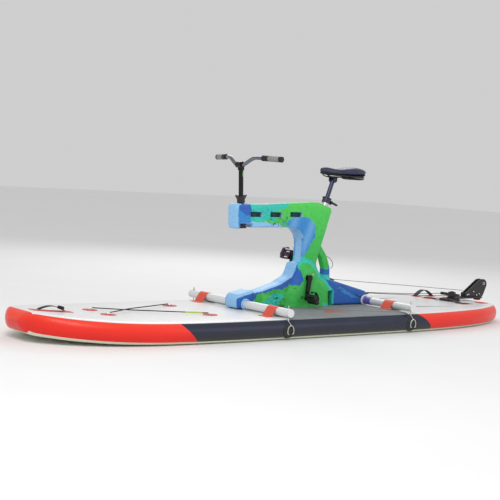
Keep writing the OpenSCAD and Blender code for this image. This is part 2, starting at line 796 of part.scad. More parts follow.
module propeller() color("black") at_pivot() translate([-leg_l, 0, 0]) mirror([0, 0, 1]) difference() {
  union() {
    translate([0, 0, 37]) cylinder(h = 21, r = 14);
    translate([0, 0, 58]) cylinder(h = 8, r1 = 14, r2 = 8);
    for (k = [0 : 2]) rotate([0, 0, 120 * k + 30]) translate([0, 0, 47.5])
      rotate([28, 0, 0]) translate([0, 0, -1.5]) linear_extrude(3)
        polygon(rounded([[8, -8, 0], [prop_r - 4, -18, 10], [prop_r - 4, 12, 10], [8, 8, 0]]));
  }
  translate([0, 0, 30]) cylinder(h = 31, r = 5);
  translate([0, 0, 60.9]) cylinder(h = 3.2, r = 5.2);
}

// ---- pedals ----
pedal_y = crank_in + crank_t;
pedal_at = crank_l * [sin(crank_tilt), 0, -cos(crank_tilt)];
// Pedal on its spindle, to port of the origin
module pedal() {
  difference() {
    union() {
      translate([0, 5, 0]) side(0, 82) polygon(rounded([[-30, -11, 4], [30, -11, 4], [30, 11, 4], [-30, 11, 4]], 3));
    }
    for (s = [-1, 1]) translate([s * 18 - 7, 18, -20]) cube([14, 58, 40]);
    translate([0, 4, 0]) rotate([-90, 0, 0]) cylinder(h = 90, r = 5 + run);
  }
}
module pedal_place(s) {
  at_axle() translate([s * pedal_at.x, s * pedal_y, s * pedal_at.z]) mirror([0, s > 0 ? 0 : 1, 0]) children();
}
module pedal_pin() { rotate([-90, 0, 0]) translate([0, 0, -13]) cylinder(h = 94, r = 5); }
module toe_strap(turn) {
  rotate([0, turn, 0]) translate([0, 30, 0]) side(0, 24) difference() {
    polygon(rounded([[-38, 11.5, 6], [38, 11.5, 6], [40, 24, 12], [24, 46, 18], [-24, 46, 18], [-40, 24, 12]]));
    polygon(rounded([[-34, 11, 0], [34, 11, 0], [36, 23, 10], [22, 42, 15], [-22, 42, 15], [-36, 23, 10]]));
  }
}
port_turn = -62;
starboard_turn = 62;
module port_pedal() color("black") pedal_place(1) {
  rotate([0, port_turn, 0]) pedal();
}
module starboard_pedal() color("black") pedal_place(-1) {
  rotate([0, starboard_turn, 0]) pedal();
}
module port_toe_strap() color("black") pedal_place(1) toe_strap(port_turn);
module starboard_toe_strap() color("indigo") pedal_place(-1) toe_strap(starboard_turn);

// ---- rudder ----
base_h = 14.5;
yaw_r = 8;
module rudder_base() color("gray") at_rudder() {
  translate([-40, -40, 0.3]) cube([122, 80, base_h - 0.3]);
  translate([0, 0, base_h]) cylinder(h = 49, r = yaw_r);
  translate([0, 0, 61.4]) cylinder(h = 4, r = 14, $fn = 6);
}

module rudder_strap() color("darkslategray") at_rudder() {
  p = [[-192, 2], [-120, 2], [-42, base_h + 0.2], [42, base_h + 0.2], [120, 2], [192, 2]];
  translate([58, 0, 0]) rotate([0, 0, 90]) webbing(p, 38, 2.5);
}

arm_z = 15;
tiller_y = 72;
cheek_in = 13;
cheek_out = 21;
module rudder_arm() color("dimgray") at_rudder() difference() {
  union() {
    translate([0, 0, arm_z]) cylinder(h = 46, r = 26);
    translate([0, 0, arm_z]) cylinder(h = 12, r = 32);
    translate([-288, -31, arm_z]) cube([290, 62, 12]);
    translate([8, -tiller_y - 6, 36]) cube([24, 2 * tiller_y + 12, 18]);
    translate([-170, -cheek_in, arm_z + 11]) cube([60, 2 * cheek_in, 30]);
    translate([-255, -9, arm_z + 11]) cube([90, 18, 22]);
    translate([-270, 0, 3]) cylinder(h = 13, r = 24);
  }
  cylinder(h = 100, r = yaw_r + run);
  for (s = [-1, 1]) translate([20, s * tiller_y, 30]) cylinder(h = 40, r = 3.2);
}

blade_hole = [-306, 76];
cheek_bolts = [[-135, 42], [-235, 38]];
module rudder_cheeks() color("black") at_rudder() difference() {
  mirrored() side(cheek_in, cheek_out) polygon(rounded([
    [-112, 27.2, 3], [-112, 52, 10], [-142, 60, 30], [-290, 152, 24], [-346, 112, 28], [-300, 27.2, 12]
  ]));
  translate([blade_hole.x, 0, blade_hole.y]) rotate([90, 0, 0]) cylinder(h = 80, r = 5, center = true);
}

module rudder_bolts() color("silver") at_rudder() mirrored() for (p = cheek_bolts)
  translate([p.x, cheek_out, p.y]) rotate([-90, 0, 0]) cylinder(h = 4, r = 6, $fn = 6);

guide_at = [-262, 0, 158];
line_exit = [-562, 20, 72];
module line_guides() color("indigo") at_frame() {
  translate([-262, 0, 159.5]) rotate([0, -14, 0]) translate([-22, -8, 0.5]) cube([44, 16, 11]);
  mirrored() translate([-581.5, line_exit.y, line_exit.z]) rotate([0, 90, 0]) difference() {
    cylinder(h = 30, r = 6);
    translate([0, 0, -1]) cylinder(h = 50, r = 2.4);
  }
}

// Line from the steering pulley down through the shells and back to the tiller
line_route = [
  [478, 30.4, 488.5], [445, 30.4, 489.4], [412, 30.4, 490.6], [380, 30.3, 494], [220, 30, 540], [60, 28, 540], [-40, 28, 480], [-70, 30, 380],
  [-66, 34, 290], [-80, 36, 200], [-160, 34, 120], [-300, 26, 90], [-440, 20, 77], [-530, 20, 72],
  [-600, 20, 72], [-720, 27, 66], [-900, 38, 58], [-1080, 50, 50], [-1250, 61, 46], [-1385, 71, 45]
];
module steering_lines() color("black") at_frame() mirrored() swept(line_route, 2, 3);

module lift_line() color("dimgray") at_frame()
  swept([[-286, 0, 164], [-520, 0, 146], [-780, 0, 127], [-1040, 0, 108], [-1300, 0, 88],
    [-1528, 0, 71]], 1.6, 3);

// Small pull loop on the port side of the arch
pull_route = [
  [-196, 25, 312], [-206, 30, 306], [-220, 31, 296], [-233, 31, 284], [-243, 30, 270],
  [-247, 28, 256], [-243, 26, 244], [-236, 24.5, 236]
];
module pull_loop() color("dimgray") at_frame() swept(pull_route, 1.8, 2);

board();
deck_pad();
inflation_valve();
red_patches();
bow_handle();
carry_handle();
d_rings();
bungee_cord();
tube_straps();
rail_patches();
tie_hooks();
front_tube();
rear_tube();
tube_end_caps();
tube_sleeve();
frame_port_shell();
frame_starboard_shell();
shell_screws();
rubber_blocks();
head_bushes();
seat_sleeve();
crank_bearings();
leg_bracket();
pivot_pin();
line_guides();
pull_loop();
crank_spindle();
port_crank_arm();
starboard_crank_arm();
crank_bevel();
port_pedal();
starboard_pedal();
port_toe_strap();
starboard_toe_strap();
drive_shaft();
idler_bevel();
leg_housing();
leg_shaft();
prop_shaft();
propeller();
steerer_tube();
steering_pulley();
post_clamp();
handlebar_post();
stem();
handlebar();
grips();
rudder_base();
rudder_strap();
rudder_arm();
rudder_cheeks();
rudder_bolts();
steering_lines();
lift_line();
seat_post();
seat_collar();
seat_lever();
saddle_clamp();
saddle_base();
saddle();
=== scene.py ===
import bpy
import bmesh
import math
import numpy as np
from mathutils import Matrix, Vector


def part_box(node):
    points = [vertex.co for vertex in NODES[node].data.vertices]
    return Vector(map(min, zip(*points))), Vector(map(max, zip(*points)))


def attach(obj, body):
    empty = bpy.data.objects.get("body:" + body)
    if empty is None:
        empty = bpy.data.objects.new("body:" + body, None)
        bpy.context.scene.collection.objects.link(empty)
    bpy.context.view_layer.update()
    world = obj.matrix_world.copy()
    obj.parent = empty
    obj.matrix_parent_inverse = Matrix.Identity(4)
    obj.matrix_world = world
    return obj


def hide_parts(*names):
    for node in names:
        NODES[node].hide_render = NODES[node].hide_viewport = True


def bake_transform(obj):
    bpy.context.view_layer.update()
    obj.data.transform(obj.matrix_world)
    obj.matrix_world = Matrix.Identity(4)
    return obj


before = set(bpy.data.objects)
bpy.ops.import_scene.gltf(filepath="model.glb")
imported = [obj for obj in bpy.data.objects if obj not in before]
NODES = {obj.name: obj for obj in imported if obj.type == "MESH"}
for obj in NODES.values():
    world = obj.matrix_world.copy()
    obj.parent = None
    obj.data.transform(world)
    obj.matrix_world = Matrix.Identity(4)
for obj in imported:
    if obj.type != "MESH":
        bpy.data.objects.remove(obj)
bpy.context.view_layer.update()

# Metres. CRANK_X and DECK place the crank axle and the deck in the frame, and at() counts from them.
CRANK_X = -0.130
DECK = 0.120
RAIL = 0.060
END = 1.800
WELL_X = (-0.243, 0.060)
RUDDER_X = -1.420


def at(x, y, z):
    return Vector((x + CRANK_X, y, z + DECK))


# ---- camera ----
def camera():
    eye = Vector((4.464, 5.211, 0.918))
    target = Vector((0.272, 0.0, 0.467))
    forward = (target - eye).normalized()
    right = forward.cross(Vector((0, 0, 1))).normalized()
    up = right.cross(forward)
    roll = math.radians(3.38)
    right2 = right * math.cos(roll) + up * math.sin(roll)
    up2 = up * math.cos(roll) - right * math.sin(roll)
    cam = bpy.data.cameras.new("camera")
    cam.sensor_width = 36
    cam.lens = 81.4
    cam.clip_end = 60
    obj = bpy.data.objects.new("camera", cam)
    bpy.context.scene.collection.objects.link(obj)
    m = Matrix((right2, up2, -forward)).transposed().to_4x4()
    m.translation = eye
    obj.matrix_world = m
    bpy.context.scene.camera = obj
    bpy.context.scene.view_settings.view_transform = "Standard"


camera()


# ---- meshes ----
def add_mesh(name, verts, faces, smooth=True):
    me = bpy.data.meshes.new(name)
    me.from_pydata([tuple(v) for v in verts], [], faces)
    me.validate()
    me.update()
    obj = bpy.data.objects.new(name, me)
    bpy.context.scene.collection.objects.link(obj)
    if smooth:
        me.polygons.foreach_set("use_smooth", [True] * len(me.polygons))
    return obj


def loft(name, rings, caps=True):
    m, n = len(rings[0]), len(rings)
    verts = [p for r in rings for p in r]
    faces = []
    for i in range(n - 1):
        for k in range(m):
            k2 = (k + 1) % m
            faces.append((i * m + k, i * m + k2, (i + 1) * m + k2, (i + 1) * m + k))
    if caps:
        faces.append(tuple(range(m - 1, -1, -1)))
        faces.append(tuple((n - 1) * m + k for k in range(m)))
    return add_mesh(name, verts, faces)


def spline(points, steps):
    """Points on a smooth curve through the given ones."""
    p = [Vector(v) for v in points]
    out = []
    for i in range(len(p) - 1):
        a, b, c, d = p[max(i - 1, 0)], p[i], p[i + 1], p[min(i + 2, len(p) - 1)]
        for k in range(steps):
            u = k / steps
            out.append(
                0.5 * (
                    2 * b + (c - a) * u + (2 * a - 5 * b + 4 * c - d) * u * u
                    + (3 * b - a - 3 * c + d) * u**3
                )
            )
    out.append(p[-1])
    return out


def curve(name, points, radius, steps=6):
    cu = bpy.data.curves.new(name, "CURVE")
    cu.dimensions = "3D"
    cu.bevel_depth = radius
    cu.bevel_resolution = 3
    cu.use_fill_caps = True
    pts = spline(points, steps)
    s = cu.splines.new("POLY")
    s.points.add(len(pts) - 1)
    for q, v in zip(s.points, pts):
        q.co = (*v, 1)
    obj = bpy.data.objects.new(name, cu)
    bpy.context.scene.collection.objects.link(obj)
    return obj


PULL = [
    (-0.196, 0.025, 0.312), (-0.206, 0.030, 0.306), (-0.220, 0.031, 0.296), (-0.233, 0.031, 0.284),
    (-0.243, 0.030, 0.270), (-0.247, 0.028, 0.256), (-0.243, 0.026, 0.244), (-0.236, 0.0245, 0.236),
]
pull = curve("pull_cord", [at(*q) for q in PULL], 0.0018)
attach(pull, "boat")
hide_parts("pull_loop")


def tube(name, points, radius, sides=12, steps=4):
    """Round tube swept along a smooth curve, as a mesh."""
    pts = spline(points, steps)
    rings = []
    side = None
    for i, q in enumerate(pts):
        d = (pts[min(i + 1, len(pts) - 1)] - pts[max(i - 1, 0)]).normalized()
        ref = Vector((0, 0, 1)) if side is None else side.cross(d) * -1
        side = d.cross(ref) if side is None else (side - d * side.dot(d))
        if side.length < 1e-5:
            side = d.cross(Vector((0, 1, 0)))
        side.normalize()
        up = d.cross(side)
        rings.append(
            [
                q + radius * (
                    side * math.cos(2 * math.pi * k / sides) + up * math.sin(2 * math.pi * k / sides)
                )
                for k in range(sides)
            ]
        )
    return loft(name, rings)


def apply_modifiers(obj):
    bpy.context.view_layer.update()
    deps = bpy.context.evaluated_depsgraph_get()
    me = bpy.data.meshes.new_from_object(obj.evaluated_get(deps))
    obj.modifiers.clear()
    obj.data = me
    return obj


def paint(obj, material):
    obj.data.materials.clear()
    obj.data.materials.append(material)
    return obj


def soften(obj, width=0.002, segments=2, angle=35):
    """Small rounded edges on a hard part."""
    b = obj.modifiers.new("edges", "BEVEL")
    b.width = width
    b.segments = segments
    b.limit_method = "ANGLE"
    b.angle_limit = math.radians(angle)
    b.harden_normals = False
    return obj


# ---- materials ----
class Shader:
    def __init__(self, name):
        self.mat = bpy.data.materials.new(name)
        self.mat.use_nodes = True
        self.tree = self.mat.node_tree
        self.bsdf = self.tree.nodes["Principled BSDF"]
        self.coords = self.tree.nodes.new("ShaderNodeTexCoord").outputs["Object"]

    def node(self, kind, **inputs):
        n = self.tree.nodes.new("ShaderNode" + kind)
        for k, v in inputs.items():
            self.put(n.inputs[k.replace("_", " ")], v)
        return n

    def put(self, socket, value):
        if isinstance(value, bpy.types.NodeSocket):
            self.tree.links.new(value, socket)
        elif socket.type == "RGBA" and len(value) == 3:
            socket.default_value = (*value, 1)
        else:
            socket.default_value = value

    def math(self, op, a, b=0.0, c=0.0):
        n = self.tree.nodes.new("ShaderNodeMath")
        n.operation = op
        for i, v in enumerate((a, b, c)):
            self.put(n.inputs[i], v)
        return n.outputs[0]

    def mix(self, fac, a, b):
        n = self.tree.nodes.new("ShaderNodeMix")
        n.data_type = "RGBA"
        self.put(n.inputs[0], fac)
        self.put(n.inputs[6], a)
        self.put(n.inputs[7], b)
        return n.outputs[2]

    def noise(self, scale, detail=4.0, stretch=(1, 1, 1), rough=0.55):
        m = self.node("Mapping", Vector=self.coords, Scale=stretch)
        return self.node(
            "TexNoise", Vector=m.outputs[0], Scale=scale, Detail=detail, Roughness=rough
        ).outputs["Fac"]

    def wave(self, scale, direction):
        n = self.node("TexWave", Vector=self.coords, Scale=scale)
        n.bands_direction = direction
        return n.outputs["Fac"]

    def step(self, value, low, high):
        n = self.node("MapRange", Value=value, From_Min=low, From_Max=high)
        return n.outputs[0]

    def bump(self, height, strength=0.3, distance=0.001):
        n = self.node("Bump", Height=height, Strength=strength, Distance=distance)
        old = self.bsdf.inputs["Normal"]
        if old.links:
            self.tree.links.new(old.links[0].from_socket, n.inputs["Normal"])
        self.put(old, n.outputs[0])

    def attribute(self, name):
        n = self.tree.nodes.new("ShaderNodeAttribute")
        n.attribute_name = name
        return n

    def xyz(self):
        return self.node("SeparateXYZ", Vector=self.coords).outputs

    def set(self, **inputs):
        for k, v in inputs.items():
            self.put(self.bsdf.inputs[k.replace("_", " ")], v)
        return self.mat


def tint(color, f):
    return tuple(min(1, c * f) for c in color)


def plain(name, color, rough, metal=0.0, grain=250, depth=0.15, stretch=(1, 1, 1), spread=0.25, coat=0.0):
    """Colour and roughness that vary a little, with a fine grain."""
    s = Shader(name)
    cloud = s.noise(9, 5)
    fine = s.noise(grain, 3, stretch)
    base = s.mix(cloud, tint(color, 1 - spread), tint(color, 1 + spread))
    base = s.mix(s.step(fine, 0.35, 0.75), base, s.mix(0.25, base, tint(color, 1.5)))
    s.bump(fine, depth)
    lo, hi = max(0.02, rough - 0.1), min(1, rough + 0.12)
    r = s.node("MapRange", Value=s.noise(40, 4), To_Min=lo, To_Max=hi).outputs[0]
    return s.set(Base_Color=base, Roughness=r, Metallic=metal, Coat_Weight=coat)


def woven(name, color, rough=0.6, scale=900):
    """Woven webbing or coated cloth: two crossed threads in relief."""
    s = Shader(name)
    a, b = s.wave(scale, "X"), s.wave(scale, "Y")
    thread = s.math("MULTIPLY", a, b)
    # Colour follows the thread relief: the low gaps between threads are darker, painted shade in the weave's
    # hollows.
    base = s.mix(thread, tint(color, 0.7), tint(color, 1.25))
    base = s.mix(s.noise(30, 5), base, tint(color, 0.85))
    s.bump(thread, 0.35)
    return s.set(Base_Color=base, Roughness=rough)


RED = (0.82, 0.022, 0.014)
NAVY = (0.022, 0.026, 0.050)
WHITE = (0.82, 0.82, 0.82)
# Pale khaki for the bottom wrap: its own colour is white, darkened and tinted here as painted shade on the
# underside.
SHADED_WRAP = (0.75, 0.78, 0.62)
GREY = (0.26, 0.28, 0.29)
CORAL = (0.90, 0.10, 0.05)

M = {
    "steel": plain("stainless_steel", (0.62, 0.62, 0.60), 0.28, 1.0, 400, 0.1, (1, 1, 0.1)),
    "tube": plain("anodised_tube", (0.74, 0.75, 0.76), 0.38, 0.25, 300, 0.12, (1, 0.05, 1), 0.06),
    "white": plain("white_cap_plastic", (0.72, 0.73, 0.73), 0.45, spread=0.06),
    "black": plain("black_moulding", (0.016, 0.016, 0.018), 0.42, spread=0.4, depth=0.3),
    "black_metal": plain("black_anodised_metal", (0.012, 0.012, 0.014), 0.25, 0.5, 500, 0.1, spread=0.3),
    "chrome": plain("dark_polished_metal", (0.20, 0.20, 0.24), 0.16, 1.0, 300, 0.05),
    "coral": woven("coral_pvc_strap", CORAL, 0.45, 700),
    "red_patch": woven("red_pvc_patch", (0.82, 0.06, 0.045), 0.5, 800),
    "dark_patch": woven("dark_rail_patch", (0.022, 0.022, 0.022), 0.5, 800),
    "webbing": woven("grey_webbing", (0.055, 0.058, 0.055), 0.8, 500),
    "rope": woven("black_braid", (0.02, 0.02, 0.02), 0.75, 1500),
    "rope_grey": woven("grey_braid", (0.10, 0.10, 0.09), 0.75, 1500),
    "violet": plain("violet_sleeve", (0.13, 0.11, 0.42), 0.35, spread=0.15, coat=0.3),
    "plum": plain("plum_moulding", (0.045, 0.012, 0.050), 0.4, spread=0.4, depth=0.3),
    "navy": plain("navy_moulding", (0.018, 0.020, 0.055), 0.35, spread=0.3),
    "gunmetal": plain("gunmetal_post", (0.045, 0.050, 0.10), 0.25, 0.7, 400, 0.1, spread=0.3),
    "rubber": plain("black_rubber", (0.012, 0.012, 0.012), 0.8, grain=500, depth=0.4, spread=0.4),
    "brass": plain("gear_bronze", (0.42, 0.26, 0.10), 0.35, 1.0, 300, 0.1),
}

GROUPS = {
    "steel": [
        "d_rings", "tie_hooks", "shell_screws", "crank_bearings", "pivot_pin", "drive_shaft", "leg_shaft",
        "prop_shaft", "rudder_bolts", "seat_sleeve",
    ],
    "tube": ["front_tube", "rear_tube", "leg_bracket", "leg_housing"],
    "white": ["tube_end_caps", "head_bushes"],
    "black": [
        "inflation_valve", "post_clamp", "rudder_base", "rudder_arm", "rudder_cheeks", "port_pedal",
        "port_toe_strap", "propeller",
    ],
    "black_metal": [
        "crank_spindle", "port_crank_arm", "starboard_crank_arm", "handlebar_post", "steerer_tube",
        "seat_lever",
        "saddle_clamp", "stem",
    ],
    "chrome": ["handlebar"],
    "coral": ["tube_straps"],
    "red_patch": ["red_patches"],
    "dark_patch": ["rail_patches"],
    "webbing": ["carry_handle", "rudder_strap"],
    "rope": ["bungee_cord", "steering_lines"],
    "rope_grey": ["lift_line", "pull_loop"],
    "violet": ["tube_sleeve"],
    "plum": ["steering_pulley", "starboard_toe_strap", "starboard_pedal", "line_guides"],
    "navy": ["seat_collar"],
    "gunmetal": ["seat_post"],
    "rubber": ["rubber_blocks", "bow_handle", "saddle_base", "grips"],
    "brass": ["crank_bevel", "idler_bevel"],
}
for key, names in GROUPS.items():
    for n in names:
        paint(NODES[n], M[key])
for n in (
    "post_clamp", "port_crank_arm", "starboard_crank_arm", "seat_collar", "port_pedal", "starboard_pedal",
    "rudder_arm", "rudder_cheeks", "rudder_base", "seat_lever", "tube_straps", "rubber_blocks", "leg_housing",
    "port_toe_strap", "starboard_toe_strap", "steering_pulley", "carry_handle", "bow_handle", "saddle_clamp",
):
    soften(NODES[n], 0.0012)

# ---- board ----
OUTLINE = [
    (-1.800, 0.175), (-1.740, 0.245), (-1.650, 0.302), (-1.430, 0.388), (-1.080, 0.452), (-0.730, 0.475),
    (0.470, 0.475), (1.040, 0.458), (1.350, 0.412), (1.570, 0.322), (1.700, 0.228), (1.780, 0.138),
    (1.800, 0.105),
]


def half_width(x):
    t = OUTLINE
    n = len(t)
    i = 0
    while i < n - 2 and x > t[i + 1][0]:
        i += 1

    def slope(k):
        a, b = t[max(k - 1, 0)], t[min(k + 1, n - 1)]
        return (b[1] - a[1]) / (b[0] - a[0])

    h = t[i + 1][0] - t[i][0]
    u = (x - t[i][0]) / h
    a, b = slope(i) * h, slope(i + 1) * h
    return (
        t[i][1] * (1 + 2 * u) * (1 - u) ** 2 + a * u * (1 - u) ** 2
        + t[i + 1][1] * u * u * (3 - 2 * u) - b * u * u * (1 - u)
    )


def rise(x):
    return 0.0 if x < 0.49 else 0.045 * ((x - 0.49) / 1.31) ** 4


def board():
    xs = [-END + 0.060 * (1 - math.cos(math.pi / 2 * k / 8)) for k in range(9)]
    xs += list(np.linspace(-1.72, 1.72, 110))
    xs += [END - 0.060 * (1 - math.cos(math.pi / 2 * (8 - k) / 8)) for k in range(9)]
    rings, angles = [], []
    flat, round_n = 6, 20
    for x in xs:
        s = max(END - abs(x), 0.0006)
        q = math.sqrt(1 - (1 - s / RAIL) ** 2) if s < RAIL else 1.0
        r, w, z = RAIL * q, half_width(x) - RAIL, RAIL + rise(x)
        ring = []
        for side in (1, -1):
            for k in range(round_n + 1):
                a = math.radians((-90 + 180 * k / round_n) if side > 0 else (90 - 180 * k / round_n))
                ring.append(((x, side * (w + r * math.cos(a)), z + r * math.sin(a)), math.degrees(a)))
            for k in range(1, flat):
                y = side * w * (1 - 2 * k / flat)
                ring.append(((x, y, z + side * r), 90 * side))
        rings.append([p for p, _ in ring])
        angles += [a for _, a in ring]
    obj = loft("board_skin", rings)
    att = obj.data.attributes.new("girth", "FLOAT", "POINT")
    att.data.foreach_set("value", angles)
    cutter = add_mesh(
        "well_cutter",
        [(CRANK_X + x, y, z) for x in WELL_X for y in (-0.078, 0.078) for z in (-0.02, 0.15)],
        [(0, 1, 3, 2), (4, 6, 7, 5), (0, 4, 5, 1), (2, 3, 7, 6), (0, 2, 6, 4), (1, 5, 7, 3)],
        False,
    )
    b = obj.modifiers.new("well", "BOOLEAN")
    b.object = cutter
    b.solver = "EXACT"
    apply_modifiers(obj)
    bpy.data.objects.remove(cutter)
    obj.data.polygons.foreach_set("use_smooth", [True] * len(obj.data.polygons))

    s = Shader("inflatable_skin")
    x, y, z = s.xyz()
    girth = s.attribute("girth").outputs["Fac"]
    t = s.math("DIVIDE", z, 0.12)
    front = s.math("MULTIPLY_ADD", t, 0.126, 0.930)
    rear = s.math("MULTIPLY_ADD", s.math("MULTIPLY", t, t), 0.133, -0.846)
    navy = s.math("MULTIPLY", s.math("LESS_THAN", x, front), s.math("GREATER_THAN", x, rear))
    cloud = s.noise(6, 5)
    red = s.mix(cloud, tint(RED, 0.9), tint(RED, 1.08))
    # The red rail turns lighter and more orange toward its top: painted light on the upper rail.
    red = s.mix(s.step(girth, -10, 60), red, (0.92, 0.055, 0.026))
    dark = s.mix(cloud, tint(NAVY, 0.8), tint(NAVY, 1.3))
    dark = s.mix(s.step(girth, 10, -40), dark, (0.040, 0.040, 0.036))
    rail = s.mix(navy, red, dark)
    deck = s.mix(s.noise(25, 6), (0.76, 0.75, 0.75), (0.88, 0.88, 0.88))
    # The white underside drawn pale khaki: painted shade under the board.
    wrap = s.mix(cloud, tint(SHADED_WRAP, 0.93), tint(SHADED_WRAP, 1.05))
    ends = s.math("MULTIPLY", s.math("LESS_THAN", x, 1.757), s.math("GREATER_THAN", x, -1.740))
    ends = s.math("MULTIPLY", ends, s.math("GREATER_THAN", girth, 62.0))
    base = s.mix(ends, rail, deck)
    under = s.math("MULTIPLY", s.math("LESS_THAN", girth, -46.0), s.math("LESS_THAN", x, 1.77))
    base = s.mix(under, base, wrap)
    ay = s.math("ABSOLUTE", y)
    slant = s.math("SUBTRACT", ay, s.math("MULTIPLY_ADD", x, -0.21, -0.018))
    taper = s.math("MULTIPLY_ADD", x, 0.055, 0.072)
    stripe = s.math("LESS_THAN", s.math("ABSOLUTE", slant), taper)
    stripe = s.math("MULTIPLY", stripe, s.math("MULTIPLY", s.math("LESS_THAN", x, -0.98),
        s.math("GREATER_THAN", girth, 85.0)))
    base = s.mix(s.math("MULTIPLY", stripe, 0.85), base, (0.05, 0.05, 0.14))
    seam = s.math("LESS_THAN", s.math("ABSOLUTE", s.math("SUBTRACT", girth, 61.0)), 1.2)
    base = s.mix(s.math("MULTIPLY", seam, 0.35), base, (0.2, 0.2, 0.2))
    cloth = s.math("MULTIPLY", s.wave(420, "X"), s.wave(420, "Y"))
    s.bump(cloth, 0.12, 0.0006)
    s.bump(s.noise(5, 3), 0.25, 0.004)
    rough = s.node("MapRange", Value=s.noise(18, 4), To_Min=0.22, To_Max=0.42).outputs[0]
    s.set(Base_Color=base, Roughness=rough, Coat_Weight=0.05, Specular_IOR_Level=0.28)
    paint(obj, s.mat)
    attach(obj, "boat")
    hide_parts("board")


board()


def pad():
    """Grooved foam pad between the two cross tubes, rounded over the deck's edge."""
    rings = []
    xs = np.linspace(-0.515, 0.440, 60) + CRANK_X
    for x in xs:
        e = min(1.0, min(x - xs[0], xs[-1] - x) / 0.006)
        w = half_width(x) - RAIL
        bend = [math.radians(58 + 32 * k / 12) for k in range(13)]
        ring = []
        for lift in (0.0052 * (0.35 + 0.65 * e), 0.0003):
            row = [(w + (RAIL + lift) * math.cos(a), RAIL + (RAIL + lift) * math.sin(a)) for a in bend]
            row += [(w * (1 - k / 6), DECK + lift) for k in range(1, 7)]
            full = row + [(-y, z) for y, z in reversed(row[:-1])]
            ring += full if lift > 0.001 else list(reversed(full))
        rings.append([(x, y, z) for y, z in ring])
    obj = loft("deck_foam", rings)
    obj.data.polygons.foreach_set("use_smooth", [False] * len(obj.data.polygons))
    s = Shader("grooved_eva_foam")
    x, y, _ = s.xyz()
    groove = s.step(s.wave(52, "Y"), 0.04, 0.16)
    base = s.mix(s.noise(14, 6), tint(GREY, 0.82), tint(GREY, 1.25))
    speck = s.step(s.noise(900, 2), 0.55, 0.7)
    base = s.mix(s.math("MULTIPLY", speck, 0.35), base, (0.55, 0.57, 0.58))
    ax = s.math("ABSOLUTE", s.math("ADD", x, 0.178))
    ay = s.math("ABSOLUTE", y)
    edge = s.math("MULTIPLY_ADD", ax, 0.9, 0.205)
    accent = s.math("MULTIPLY", s.math("LESS_THAN", ax, 0.115), s.math("GREATER_THAN", ay, edge))
    accent = s.math("MULTIPLY", accent, s.math("LESS_THAN", ay, 0.335))
    base = s.mix(s.math("MULTIPLY", accent, 0.75), base, (0.55, 0.13, 0.10))
    ribbon = s.math("SUBTRACT", s.math("MULTIPLY_ADD", x, -0.55, 0.10), ay)
    line = s.math("LESS_THAN", s.math("ABSOLUTE", ribbon), 0.007)
    base = s.mix(s.math("MULTIPLY", line, 0.8), base, (0.03, 0.035, 0.08))
    # The grooves are darkened to dark grey: painted shade in the recesses.
    base = s.mix(s.math("SUBTRACT", 1.0, groove), base, tint(GREY, 0.45))
    s.bump(groove, 0.6, 0.002)
    s.bump(s.noise(700, 3), 0.3, 0.0004)
    s.set(Base_Color=base, Roughness=0.85)
    paint(obj, s.mat)
    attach(obj, "boat")
    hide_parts("deck_pad")


pad()

# ---- frame shells ----
SPINE = [
    (-566, 6, 12), (520, 6, 15), (524, 84, 38), (330, 109, 200), (190, 148, 120), (100, 196, 60),
    (70, 274, 14),
    (26, 278, 14),
    (20, 490, 105), (432, 482, 6), (432, 504, 3), (520, 504, 3), (520, 472, 8), (545, 472, 16),
    (556, 622, 26),
    (400, 620, 300), (-80, 648, 200), (-204, 612, 22), (-150, 440, 200), (-112, 330, 60), (-94, 262, 40),
    (-142, 192, 60), (-236, 165, 60), (-545, 88, 30),
]
BULGE = [
    (-250, -80, 0), (150, -80, 0), (140, 90, 60), (86, 190, 50), (56, 256, 25), (12, 288, 25), (-34, 278, 30),
    (-84, 236, 50), (-114, 184, 80), (-162, 160, 60), (-236, 92, 20),
]
ARCH = [
    (-110, 420, 0), (-144, 384, 25), (-200, 318, 60), (-234, 240, 60), (-238, 160, 0), (-180, 140, 0),
    (-180, 236, 60), (-155, 300, 30), (-120, 326, 10), (-100, 330, 0),
]
FOOT = [(404, 6, 0), (521, 6, 15), (525, 85, 38), (404, 111, 0)]


def rounded(points, n=6):
    out = []
    for i, (bx, bz, r) in enumerate(points):
        a, b, c = (np.array(points[k % len(points)][:2], float) for k in (i - 1, i, i + 1))
        if r <= 0:
            out.append(b)
            continue
        u, v = (a - b) / np.linalg.norm(a - b), (c - b) / np.linalg.norm(c - b)
        half = math.acos(float(u @ v)) / 2
        w = (u + v) / np.linalg.norm(u + v)
        mid = b + w * r / math.sin(half)
        s, e = b + u * r / math.tan(half) - mid, b + v * r / math.tan(half) - mid
        a0 = math.atan2(s[1], s[0])
        turn = math.atan2(s[0] * e[1] - s[1] * e[0], float(s @ e))
        out += [
            mid + r * np.array((math.cos(a0 + turn * k / n), math.sin(a0 + turn * k / n)))
            for k in range(n + 1)
        ]
    return out


def inset(p, d):
    out = []
    n = len(p)
    for i in range(n):
        e1, e2 = p[i] - p[i - 1], p[(i + 1) % n] - p[i]
        n1 = np.array((e1[1], -e1[0])) / max(np.linalg.norm(e1), 1e-9)
        n2 = np.array((e2[1], -e2[0])) / max(np.linalg.norm(e2), 1e-9)
        out.append(p[i] - d * (n1 + n2) / max(1 + float(n1 @ n2), 0.3))
    return out


def slab(outline, hw):
    """Closed prism with the outline (mm) in the XZ plane, hw mm to each side."""
    n = len(outline)
    verts = [tuple(at(q[0] / 1000, s * hw / 1000, q[1] / 1000)) for s in (-1, 1) for q in outline]
    faces = [tuple(range(n - 1, -1, -1)), tuple(range(n, 2 * n))]
    faces += [(k, (k + 1) % n, n + (k + 1) % n, n + k) for k in range(n)]
    return verts, faces


